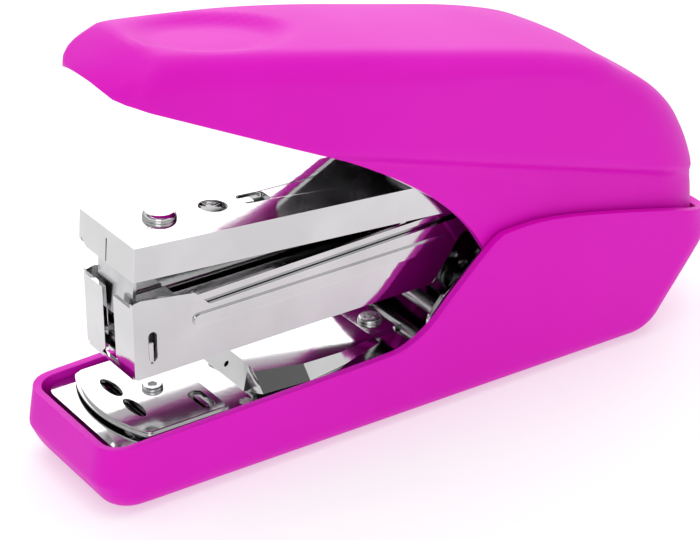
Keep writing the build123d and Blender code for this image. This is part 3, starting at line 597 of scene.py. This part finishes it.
def ease(value: float, low: float, high: float) -> float:
    """Steps smoothly from nought at low to one at high."""
    share = min(max((value - low) / (high - low), 0.0), 1.0)
    return share * share * (3.0 - 2.0 * share)


@dataclass
class SmoothCurve:
    """A smooth line through corners in the side view, read by a share of its length."""

    corners: list[tuple[float, float]]
    rounds: int = 3
    cut_share: float = 0.25

    def __post_init__(self) -> None:
        """Rounds the corners by cutting them again and again."""
        line = [Vector(c) for c in self.corners]
        for _ in range(self.rounds):
            cut = [line[0]]
            for a, b in zip(line, line[1:]):
                cut += [a.lerp(b, self.cut_share), a.lerp(b, 1.0 - self.cut_share)]
            line = cut + [line[-1]]
        self.line = line
        self.reach = [0.0]
        for a, b in zip(line, line[1:]):
            self.reach.append(self.reach[-1] + (b - a).length)

    def at(self, share: float) -> Vector:
        """Finds the point a share of the way along.

        Args:
            share: Share of the whole length.

        Returns:
            The point, as a station and a height.
        """
        goal = share * self.reach[-1]
        for i in range(1, len(self.line)):
            if goal <= self.reach[i] or i == len(self.line) - 1:
                span = self.reach[i] - self.reach[i - 1]
                return self.line[i - 1].lerp(self.line[i], (goal - self.reach[i - 1]) / span)
        return self.line[-1]

    def height(self, station: float) -> float:
        """Reads the height at a station, for a line that only runs rearward.

        Args:
            station: The station.

        Returns:
            The height there.
        """
        for a, b in zip(self.line, self.line[1:]):
            if station <= b.x:
                return mix(a.y, b.y, (station - a.x) / (b.x - a.x))
        return self.line[-1].y


def skin(name: str, columns: int, rows: int,
         place: Callable[[float, float], Vector]) -> bpy.types.Object:
    """Makes a sheet of quads and lays each of its points on a surface.

    Args:
        name: The piece's name.
        columns: Quads along the sheet.
        rows: Quads across it.
        place: Gives a point in metres from shares along and across.

    Returns:
        The laid sheet.
    """
    deselect_all()
    bpy.ops.mesh.primitive_grid_add(x_subdivisions=columns, y_subdivisions=rows, size=1.0)
    sheet = bpy.context.object
    sheet.name = name
    for vertex in sheet.data.vertices:
        along, over = vertex.co.x + 0.5, vertex.co.y + 0.5
        vertex.co = place(along, over)
    return sheet


def add_wall(piece: bpy.types.Object, thickness: float) -> None:
    """Gives a sheet its wall, inward of the skin.

    Args:
        piece: The sheet.
        thickness: The wall's thickness in metres.
    """
    wall = piece.modifiers.new("wall", "SOLIDIFY")
    wall.thickness = thickness
    wall.offset = -1.0
    wall.use_even_offset = False


def finish_piece(piece: bpy.types.Object, body: Body, slot: Slot, *nodes: str) -> None:
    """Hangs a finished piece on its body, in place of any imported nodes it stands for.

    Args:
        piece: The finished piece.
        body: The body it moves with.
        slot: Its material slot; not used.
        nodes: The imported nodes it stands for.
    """
    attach(piece, body.value)
    if nodes:
        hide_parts(*nodes)
    log.info("%s is done, for %s", piece.name, ", ".join(nodes) or "no packed node")


# ------------------------------------------------------------------ handle
@dataclass
class Handle:
    """The tall moulded handle: crown, round tail, sliding lower panel and thumb dish.

    A rib runs down each side from every point of the crown to the lower edge. In
    the nose the ribs are upright, and behind it they fan out to the tail's foot.
    """

    rows: int = 110
    crown_columns: int = 16
    shoulder_columns: int = 8
    wall_columns: int = 14
    half_width: float = 17.9
    nose_half_width: float = 13.4
    tip_half_width: float = 3.5
    tip_station: float = 8.6
    nose_sweep: float = 6.5
    taper: float = 62.0
    panel_half_width: float = 15.6
    crown_drop: float = 1.6
    wall: float = 2.0
    crease_front: tuple[float, float] = (48.0, 60.2)
    crease_rear: tuple[float, float] = (150.0, 28.8)
    dish_station: float = 34.0
    dish_half_length: float = 17.5
    dish_half_width: float = 10.5
    dish_depth: float = 2.0
    dish_floor: float = 0.35
    shoulder_radii: tuple[float, float] = (6.0, 12.0)
    shoulder_grows: tuple[float, float] = (0.62, 0.9)
    shoulder_limits: tuple[float, float] = (0.6, 0.8)
    crease_step: tuple[float, float] = (-1.2, 1.4)
    crease_band: float = 1.2
    crease_band_limit: float = 0.05
    crease_limits: tuple[float, float] = (0.2, 0.92)
    crease_marks: tuple[float, float] = (0.42, 0.70)
    fan_from: float = 0.17
    fan_start: float = 0.36
    fan_blend: float = 0.12
    nose_wall_share: float = 0.12
    nose_wall_grows: tuple[float, float] = (1.0, 16.0)
    edge_round: float = 0.5
    post_radius: float = 3.6
    post_flare: float = 0.6
    post_foot_round: float = 0.3
    screw_bite: float = 6.0

    def __post_init__(self) -> None:
        """Lays out the crown and the lower edge in the side view."""
        self.crown = SmoothCurve([
            (8.6, 79.4), (8.9, 80.2), (16.8, 84.6), (18.6, 85.0), (50.7, 79.8), (80.0, 73.0),
            (100.0, 68.4), (113.0, 63.8), (119.5, 58.8), (127.5, 54.0), (135.5, 46.6),
            (140.9, 36.4), (142.6, 27.0), (142.9, 18.0)])
        self.edge = SmoothCurve([
            (8.6, 79.4), (9.4, 78.2), (24.0, 71.4), (57.0, 56.0), (78.5, 40.5), (88.0, 25.0),
            (92.2, 18.0)])

    def build(self, wardrobe: Wardrobe, place: Frame) -> bpy.types.Object:
        """Models the shell and the post inside it.

        Args:
            wardrobe: The finishes.
            place: Turns stations into X.

        Returns:
            The finished shell.
        """
        self.frame = place
        half = self.crown_columns // 2 + self.shoulder_columns + self.wall_columns
        shell = skin("handle_shell_moulded", self.rows, 2 * half, self.point)
        edit_mode(shell)
        bpy.ops.mesh.remove_doubles(threshold=0.02 * MM)
        bpy.ops.mesh.normals_make_consistent(inside=False)
        object_mode()
        self.thin_the_nose(shell)
        add_wall(shell, self.wall * MM)
        shell.modifiers["wall"].vertex_group = "wall share"
        round_edges(shell, "soft edges", self.edge_round * MM, 2, 50)
        apply_modifiers(shell)
        self.add_posts(shell)
        smooth(shell, 60.0)
        wardrobe.dress(shell, MAGENTA_PLASTIC)
        finish_piece(shell, Body.HANDLE, Slot.SHELL, "handle_shell")
        return shell

    def add_posts(self, shell: bpy.types.Object) -> None:
        """Moulds a short post under the crown, over the middle of each node of screws.

        The two screws are packed as one node, so there is one post. It stands
        between them and ends clear of the lever.

        Args:
            shell: The shell, which takes the post in.
        """
        screws = [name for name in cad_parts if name.startswith("handle_screw")]
        for low, high in map(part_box, screws):
            middle = (low + high) / 2
            station = (middle.x - self.frame.x(0.0)) / MM
            foot = high.z - self.screw_bite * MM
            roof = (self.crown.height(station) - 0.5 * self.wall) * MM
            deselect_all()
            bpy.ops.mesh.primitive_cone_add(
                vertices=40, radius1=self.post_radius * MM,
                radius2=(self.post_radius + self.post_flare) * MM,
                depth=roof - foot, location=(middle.x, 0.0, (roof + foot) / 2))
            post = bpy.context.object
            round_edges(post, "soft foot", self.post_foot_round * MM, 2, 50)
            apply_modifiers(post)
            settle(post)
            shell.select_set(True)
            bpy.context.view_layer.objects.active = shell
            bpy.ops.object.join()

    def thin_the_nose(self, shell: bpy.types.Object) -> None:
        """Lets the wall grow from thin at the tip to full behind the nose.

        Args:
            shell: The shell's sheet.
        """
        group = shell.vertex_groups.new(name="wall share")
        for vertex in shell.data.vertices:
            back = (vertex.co.x - self.frame.x(0.0)) / MM - self.tip_station
            share = mix(self.nose_wall_share, 1.0, ease(back, *self.nose_wall_grows))
            group.add([vertex.index], share, "REPLACE")

    def lower_point(self, along: float, top: Vector) -> Vector:
        """Finds the point of the lower edge that a rib comes down to.

        Args:
            along: Share along the crown.
            top: The rib's start on the crown.

        Returns:
            Its end, as a station and a height.
        """
        upright = Vector((top.x, self.edge.height(top.x)))
        fanned = max(along - self.fan_from, 0.0) / (1.0 - self.fan_from)
        fan = self.edge.at(mix(self.fan_start, 1.0, fanned))
        return upright.lerp(fan, ease(along, self.fan_from, self.fan_from + self.fan_blend))

    def plan_half_width(self, station: float) -> float:
        """Reads the half width in plan, which grows from the tip.

        Args:
            station: The station.

        Returns:
            Half the width there.
        """
        back = station - self.tip_station
        if back < self.nose_sweep:
            share = math.sqrt(max(0.0, 1.0 - (1.0 - back / self.nose_sweep) ** 2))
            return mix(self.tip_half_width, self.nose_half_width, share)
        share = min((back - self.nose_sweep) / (self.taper - self.nose_sweep), 1.0)
        return mix(self.nose_half_width, self.half_width, math.sin(share * QUARTER_TURN))

    def below_crease(self, spot: Vector) -> float:
        """Measures how far a place lies under the crease line, in the side view.

        Args:
            spot: The place, as a station and a height.

        Returns:
            Its depth under the line, less than nought above it.
        """
        a, b = Vector(self.crease_front), Vector(self.crease_rear)
        run = (b - a).normalized()
        return (spot - a).dot(Vector((run.y, -run.x)))

    def crease_share(self, top: Vector, low: Vector) -> float:
        """Finds where a rib crosses the crease.

        Args:
            top: The rib's start on the crown.
            low: Its end on the lower edge.

        Returns:
            The share of the way down at which it crosses.
        """
        high, deep = self.below_crease(top), self.below_crease(low)
        least, most = self.crease_limits
        return min(max(-high / max(deep - high, 0.01), least), most)

    def placed(self, spot: Vector, offset: float) -> Vector:
        """Turns a place in the side view and an offset into a point in metres."""
        return Vector((self.frame.x(spot.x * MM), offset * MM, spot.y * MM))

    def point(self, along: float, over: float) -> Vector:
        """One point of the skin.

        Args:
            along: Share from the tip, over the crown, to the foot of the tail.
            over: Share from the near lower edge to the far one.

        Returns:
            The point in metres.
        """
        top = self.crown.at(along)
        low = self.lower_point(along, top)
        depth = max((low - top).length, 0.001)
        inward = (low - top) / depth
        side = -1.0 if over < 0.5 else 1.0
        half = self.crown_columns // 2 + self.shoulder_columns + self.wall_columns
        column = round(abs(over - 0.5) * 2 * half)
        reach = self.plan_half_width(top.x)
        radius = min(mix(*self.shoulder_radii, ease(along, *self.shoulder_grows)),
                     self.shoulder_limits[0] * depth, self.shoulder_limits[1] * reach)
        flat = self.crown_columns // 2
        if column <= flat:
            share = column / flat
            offset = share * (reach - radius)
            drop = self.crown_drop * (offset / reach) ** 2 + self.dish(top.x, offset)
            spot = top + inward * min(drop, 0.5 * depth)
            return self.placed(spot, side * offset)
        lean = self.crown_drop * ((reach - radius) / reach) ** 2
        if column <= flat + self.shoulder_columns:
            angle = (column - flat) / self.shoulder_columns * QUARTER_TURN
            offset = reach - radius + radius * math.sin(angle)
            spot = top + inward * min(lean + radius * (1.0 - math.cos(angle)), depth)
            step = ease(self.below_crease(spot), *self.crease_step) * math.sin(angle)
            offset = mix(offset, offset * self.panel_half_width / self.half_width, step)
            return self.placed(spot, side * offset)
        start = min((lean + radius) / depth, 1.0)
        share = (column - flat - self.shoulder_columns) / self.wall_columns
        band = min(self.crease_band / depth, self.crease_band_limit)
        crossing = max(self.crease_share(top, low), start + 2.5 * band)
        above, below = self.crease_marks
        marks = [(0.0, start), (above, crossing - band), (below, crossing + band), (1.0, 1.0)]
        for (s0, v0), (s1, v1) in zip(marks, marks[1:]):
            if share <= s1:
                spot = top.lerp(low, mix(v0, max(v1, v0), (share - s0) / (s1 - s0)))
                break
        width = self.plan_half_width(spot.x) if along < 0.5 else reach
        step = ease(self.below_crease(spot), *self.crease_step)
        width = mix(width, min(width, self.panel_half_width), step)
        return self.placed(spot, side * width)

    def dish(self, station: float, offset: float) -> float:
        """Reads the depth of the thumb dish at a place on the crown.

        Args:
            station: The place's station.
            offset: Its distance from the middle.

        Returns:
            The depth there.
        """
        run = (station - self.dish_station) / self.dish_half_length
        span = offset / self.dish_half_width
        away = run * run + span * span
        return self.dish_depth * (1.0 - ease(away, self.dish_floor, 1.0))


# ---------------------------------------------------------------- base shell
@dataclass
class BaseShell:
    """The tray: blunt nose with an undercut, low rim, tall cheeks and a raked tail."""

    corner_columns: int = 10
    side_columns: int = 64
    end_columns: int = 6
    foot_rows: int = 5
    wall_rows: int = 15
    length: float = 146.0
    nose_half_width: float = 16.4
    tail_half_width: float = 18.6
    nose_radius: float = 5.6
    tail_radius: float = 12.0
    foot_radius: float = 3.6
    bottom: float = 0.4
    bottom_inset: float = 2.0
    foot_tuck: float = 0.35
    rim_round: float = 0.55
    wall: float = 1.6
    screw_places: tuple[tuple[float, float], ...] = (
        (33.0, 11.5), (33.0, -11.5), (98.0, 7.5), (98.0, -7.5))
    screw_head_radius: float = 2.6
    screw_head_top: float = 1.6

    def __post_init__(self) -> None:
        """Lays out the rim by station, and the two ends as stations by height."""
        self.rim = SmoothCurve([
            (0.0, 14.0), (30.0, 14.6), (60.0, 15.2), (66.0, 15.6), (72.0, 20.2), (86.0, 33.2),
            (88.6, 34.0), (101.0, 34.1), (136.0, 26.1), (143.0, 23.6), (146.2, 21.6)])
        self.front = SmoothCurve(
            [(0.4, 3.0), (6.4, 0.2), (6.9, 0.0), (9.0, 0.3), (14.0, 1.2)], rounds=2)
        self.rear = SmoothCurve([(0.4, 131.0), (17.0, 144.8), (19.4, 146.0), (23.0, 144.7)])

    def build(self, wardrobe: Wardrobe, place: Frame) -> bpy.types.Object:
        """Models the tray.

        Args:
            wardrobe: The finishes.
            place: Turns stations into X.

        Returns:
            The finished tray.
        """
        self.frame = place
        self.outline = self.plan()
        shell = skin("base_shell_moulded", len(self.outline) - 1,
                     self.foot_rows + self.wall_rows, self.point)
        edit_mode(shell)
        bpy.ops.mesh.remove_doubles(threshold=0.01 * MM)
        bpy.ops.mesh.select_all(action="DESELECT")
        object_mode()
        self.close_bottom(shell)
        add_wall(shell, self.wall * MM)
        round_edges(shell, "soft rim", self.rim_round * MM, 3, 55)
        apply_modifiers(shell)
        self.sink_screws(shell)
        smooth(shell, 50.0)
        wardrobe.dress(shell, MAGENTA_PLASTIC)
        finish_piece(shell, Body.BASE, Slot.SHELL, "base_shell")
        return shell

    def close_bottom(self, shell: bpy.types.Object) -> None:
        """Fills the lowest ring of edges with the bottom, and turns every face outward.

        Args:
            shell: The sheet, with nothing in it selected.
        """
        ring = min(v.co.z for v in shell.data.vertices) + 0.01 * MM
        for edge in shell.data.edges:
            edge.select = all(shell.data.vertices[i].co.z < ring for i in edge.vertices)
        bpy.context.view_layer.objects.active = shell
        bpy.ops.object.mode_set(mode="EDIT")
        bpy.ops.mesh.edge_face_add()
        bpy.ops.mesh.inset(thickness=self.bottom_inset * MM)
        bpy.ops.mesh.select_all(action="SELECT")
        bpy.ops.mesh.normals_make_consistent(inside=False)
        object_mode()

    def plan(self) -> list[tuple[float, float]]:
        """Lays the plan's outline, from the tail round the near side, the nose and back.

        Returns:
            Its points, each as a share of the length and an offset from the middle.
        """
        points: list[tuple[float, float]] = []
        tail, nose = self.tail_radius, self.nose_radius
        for i in range(self.end_columns):
            points.append((1.0, -mix(0.0, self.tail_half_width - tail, i / self.end_columns)))
        for i in range(self.corner_columns):
            angle = i / self.corner_columns * QUARTER_TURN
            points.append((1.0 - tail * (1.0 - math.cos(angle)) / self.length,
                           -(self.tail_half_width - tail + tail * math.sin(angle))))
        start, end = 1.0 - tail / self.length, nose / self.length
        for i in range(self.side_columns):
            share = mix(start, end, i / self.side_columns)
            points.append((share, -mix(self.nose_half_width, self.tail_half_width, share)))
        for i in range(self.corner_columns):
            angle = i / self.corner_columns * QUARTER_TURN
            points.append((nose * (1.0 - math.sin(angle)) / self.length,
                           -(self.nose_half_width - nose + nose * math.cos(angle))))
        for i in range(self.end_columns):
            points.append((0.0, -mix(self.nose_half_width - nose, 0.0, i / self.end_columns)))
        points.append((0.0, 0.0))
        return points + [(x, -y) for x, y in reversed(points[:-1])]

    def point(self, along: float, over: float) -> Vector:
        """One point of the skin.

        Args:
            along: Share of the way round the plan.
            over: Share of the way up, from the foot to the rim.

        Returns:
            The point in metres.
        """
        share, offset = self.outline[round(along * (len(self.outline) - 1))]
        row = round(over * (self.foot_rows + self.wall_rows))
        rim = self.rim.height(share * self.length)
        radius = self.foot_radius
        if row <= self.foot_rows:
            angle = row / self.foot_rows * QUARTER_TURN
            inset = radius * (1.0 - math.sin(angle))
            z = self.bottom + radius * (1.0 - math.cos(angle))
        else:
            inset = 0.0
            z = mix(self.bottom + radius, rim, (row - self.foot_rows) / self.wall_rows)
        front, rear = self.front.height(z), self.rear.height(z)
        station = mix(front, rear, share)
        half = mix(self.nose_half_width, self.tail_half_width, share)
        middle = self.length / 2
        shrink = 1.0 - inset / half
        station = middle + (station - middle) * (1.0 - self.foot_tuck * inset / middle)
        return Vector((self.frame.x(station * MM), offset * shrink * MM, z * MM))

    def sink_screws(self, shell: bpy.types.Object) -> None:
        """Cuts a round recess for each screw head in the underside.

        Args:
            shell: The walled tray.
        """
        for station, offset in self.screw_places:
            deselect_all()
            bpy.ops.mesh.primitive_cylinder_add(
                vertices=32, radius=self.screw_head_radius * MM,
                depth=2 * self.screw_head_top * MM,
                location=(self.frame.x(station * MM), offset * MM, 0.0))
            cutter = bpy.context.object
            cut = shell.modifiers.new("screw recess", "BOOLEAN")
            cut.object = cutter
            cut.operation = "DIFFERENCE"
            apply_modifiers(shell)
            bpy.data.objects.remove(cutter)


# ------------------------------------------------------------------ springs
@dataclass
class Coil:
    """A round-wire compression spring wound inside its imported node's box."""

    name: str
    node: str
    wire: float
    turns: int
    along: Vector
    steps: int = 20
    sides: int = 8

    def build(self, wardrobe: Wardrobe) -> bpy.types.Object:
        """Winds the spring.

        Args:
            wardrobe: The finishes.

        Returns:
            The finished spring.
        """
        low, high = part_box(self.node)
        size, middle = high - low, (low + high) / 2
        length = abs(size.dot(self.along))
        radius = (min(size) - self.wire) / 2
        pitch = (length - self.wire) / self.turns
        deselect_all()
        bpy.ops.mesh.primitive_circle_add(
            vertices=self.sides, radius=self.wire / 2, location=(radius, 0.0, 0.0),
            rotation=(QUARTER_TURN, 0.0, 0.0))
        coil = bpy.context.object
        coil.name = self.name
        settle(coil)
        winding = coil.modifiers.new("winding", "SCREW")
        winding.screw_offset = pitch
        winding.iterations = self.turns
        winding.steps = self.steps
        winding.render_steps = self.steps
        apply_modifiers(coil)
        edit_mode(coil)
        bpy.ops.mesh.remove_doubles(threshold=0.001 * MM)
        bpy.ops.mesh.select_all(action="DESELECT")
        bpy.ops.mesh.select_non_manifold()
        bpy.ops.mesh.edge_face_add()
        bpy.ops.mesh.select_all(action="SELECT")
        bpy.ops.mesh.normals_make_consistent(inside=False)
        object_mode()
        coil.rotation_euler = self.along.to_track_quat("Z", "Y").to_euler()
        coil.location = middle - self.along * (length - self.wire) / 2
        settle(coil)
        smooth(coil, 60.0)
        wardrobe.dress(coil, SPRING_STEEL)
        return coil


def build_springs(wardrobe: Wardrobe) -> None:
    """Winds the two springs that shorten as the stapler works.

    Args:
        wardrobe: The finishes.
    """
    wire = 0.5 * MM
    pusher = Coil("pusher_spring_wound", "pusher_spring", wire, 34,
                  Vector((1.0, 0.0, 0.0)), steps=16)
    wound = pusher.build(wardrobe)
    finish_piece(wound, Body.MAGAZINE, Slot.SPRING, "pusher_spring")
    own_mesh(wound)
    table = Coil("table_spring_wound", "table_spring", wire, 7, Vector((0.0, 0.0, 1.0)))
    wound = table.build(wardrobe)
    finish_piece(wound, Body.BASE, Slot.SPRING, "table_spring")
    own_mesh(wound)


# ------------------------------------------------------------- pressed steel
@dataclass
class SlotTab:
    """The bright tongue at the front edge of the magazine's side slot."""

    station: float = 15.0
    height: float = 27.0
    inset: float = 0.8
    size: tuple[float, float, float] = (1.1, 0.6, 4.6)
    edge_round: float = 0.28

    def build(self, wardrobe: Wardrobe, place: Frame) -> None:
        """Makes the tongue and hangs it on the magazine.

        Args:
            wardrobe: The finishes.
            place: Turns stations into X.
        """
        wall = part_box("magazine_sheath")[0].y
        deselect_all()
        bpy.ops.mesh.primitive_cube_add(size=1.0, location=(
            place.x(self.station * MM), wall + self.inset * MM, self.height * MM))
        tab = bpy.context.object
        tab.name = "magazine_slot_tab"
        tab.scale = [side * MM for side in self.size]
        settle(tab)
        rounded = tab.modifiers.new("rolled edges", "BEVEL")
        rounded.width = self.edge_round * MM
        rounded.segments = 4
        apply_modifiers(tab)
        smooth(tab, 40.0)
        wardrobe.dress(tab, CHROME_PLATE)
        finish_piece(tab, Body.MAGAZINE, Slot.BRIGHT)


def soften_edges(node: bpy.types.Object, width: float) -> None:
    """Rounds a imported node's edges a little, without touching its mesh.

    Args:
        node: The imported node.
        width: Width of the rounding, in metres.
    """
    joined = node.modifiers.new("joined faces", "WELD")
    joined.merge_threshold = 0.002 * MM
    rounded = round_edges(node, "broken edges", width, 3, 40)
    rounded.use_clamp_overlap = True
    rounded.harden_normals = True


def main() -> None:
    """Builds the stapler's pieces in order and reports each one."""
    logging.basicConfig(level=logging.INFO, format="%(name)s: %(message)s")
    wardrobe = Wardrobe()
    place = Frame()
    for name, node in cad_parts.items():
        finish = FINISH_OF_SLOT[node.data.materials[0].name]
        wardrobe.dress(node, finish)
        if finish.label in ROUNDING_OF_FINISH and name != LEFT_SHARP:
            soften_edges(node, ROUNDING_OF_FINISH[finish.label])
        log.info("%s dressed in %s", name, finish.label)
    build_springs(wardrobe)
    BaseShell().build(wardrobe, place)
    Handle().build(wardrobe, place)
    SlotTab().build(wardrobe, place)
    Studio().build(wardrobe)


if __name__ == "__main__":
    main()
